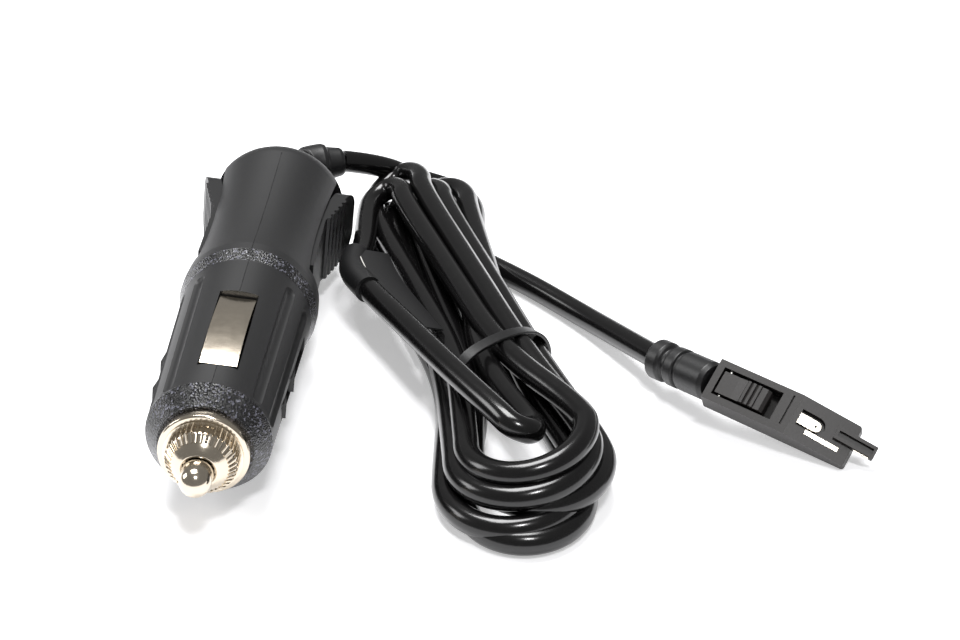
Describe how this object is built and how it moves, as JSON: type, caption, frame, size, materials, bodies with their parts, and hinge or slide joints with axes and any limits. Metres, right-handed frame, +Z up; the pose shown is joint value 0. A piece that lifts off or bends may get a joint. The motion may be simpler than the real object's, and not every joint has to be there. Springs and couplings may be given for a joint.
{
  "type": "vehicle power lead",
  "caption": "12 V lighter-socket plug with squeeze levers and fuse, a thin black cable tied in a hank, and a flat latching device connector.",
  "frame": {"origin": "on the ground under the middle of the lighter plug", "axes": "+Z up; the plug's axis lies along Y with its nose towards -Y; the cable hank lies on its +X side"},
  "size_m": [0.1198, 0.1219, 0.0245],
  "materials": {
    "plug_plastic": "fine spark-eroded moulding",
    "lever_plastic": "fine moulded grain",
    "nickel": "bright nickel plate",
    "spring_steel": "drawn wire",
    "tinned_brass": "tin plate",
    "fuse_glass": "clear",
    "fuse_wire": "drawn wire",
    "wire_red": "insulation",
    "wire_black": "insulation",
    "cable_pvc": "satin extruded PVC",
    "boot_pvc": "matte moulded PVC",
    "tie_plastic": "satin film",
    "label_film": "satin film",
    "connector_plastic": "fine moulded grain"
  },
  "bodies": {
    "root": {"body_half_right": "plug_plastic", "body_half_left": "plug_plastic", "lever_pins": "spring_steel", "lever_spring_right": "spring_steel", "lever_spring_left": "spring_steel", "nose_ring": "nickel", "fuse_spring": "spring_steel", "rear_terminal": "tinned_brass", "ground_clip": "tinned_brass", "case_screw": "spring_steel", "positive_wire": "wire_red", "negative_wire": "wire_black", "plug_strain_relief": "boot_pvc", "cord_lead_in": "cable_pvc", "cord_lead_out": "cable_pvc", "cord_hank": "cable_pvc", "hank_tie": "tie_plastic", "cord_label": "label_film", "connector_base": "connector_plastic", "connector_cover": "connector_plastic", "latch_pin": "spring_steel", "latch_spring": "spring_steel", "contact_tongue": "tinned_brass", "contact_strip": "tinned_brass", "key_rib": "connector_plastic", "key_contact": "tinned_brass", "connector_boot": "boot_pvc"},
    "lever_right_body": {"lever_right": "lever_plastic"},
    "lever_left_body": {"lever_left": "lever_plastic"},
    "fuse_train": {"contact_tip": "nickel", "fuse_cap_front": "tinned_brass", "fuse_cap_rear": "tinned_brass", "fuse_glass": "fuse_glass", "fuse_wire": "fuse_wire"},
    "washer_body": {"cap_washer": "nickel"},
    "cap_body": {"nose_cap": "nickel"},
    "leaf_body": {"ground_leaf": "nickel"},
    "latch_body": {"latch_button": "connector_plastic"}
  },
  "joints": [
    {"name": "lever_right_squeeze", "type": "hinge", "parent": "root", "child": "lever_right_body", "pos_m": [0.00755, -0.0297, 0.01145], "axis": [0.1097, 0, 0.994], "range_deg": [0, 2], "stiffness_Nm_per_rad": 2, "springref_deg": -1.72, "deforming": ["lever_spring_right"]},
    {"name": "lever_left_squeeze", "type": "hinge", "parent": "root", "child": "lever_left_body", "pos_m": [-0.00755, -0.0297, 0.01311], "axis": [-0.1097, 0, -0.994], "range_deg": [0, 2], "stiffness_Nm_per_rad": 2, "springref_deg": -1.72, "deforming": ["lever_spring_left"]},
    {"name": "tip_press", "type": "slide", "parent": "root", "child": "fuse_train", "axis": [0, 1, 0], "range_m": [0, 0.003], "stiffness_N_per_m": 500, "springref_m": -0.004, "deforming": ["fuse_spring"]},
    {"name": "cap_slide", "type": "slide", "parent": "root", "child": "washer_body", "axis": [0, -1, 0], "range_m": [0, 0.0048]},
    {"name": "cap_turn", "type": "hinge", "parent": "washer_body", "child": "cap_body", "pos_m": [0, -0.0397, 0.01228], "axis": [0, -1, 0], "range_deg": [0, 1440]},
    {"name": "leaf_press", "type": "hinge", "parent": "root", "child": "leaf_body", "pos_m": [0.00079, -0.0075, 0.01944], "axis": [0.994, 0, -0.1097], "range_deg": [0, 4], "stiffness_Nm_per_rad": 0.3, "springref_deg": -1.72},
    {"name": "latch_press", "type": "hinge", "parent": "root", "child": "latch_body", "pos_m": [0.08095, -0.00734, 0.00838], "axis": [0.4556, 0.6877, 0.5652], "range_deg": [0, 6], "stiffness_Nm_per_rad": 0.05, "springref_deg": -2.86, "deforming": ["latch_spring"]}
  ],
  "couplings": [
    {"joint": "cap_turn", "follows": "cap_slide", "rad_per_m": 5236}
  ]
}
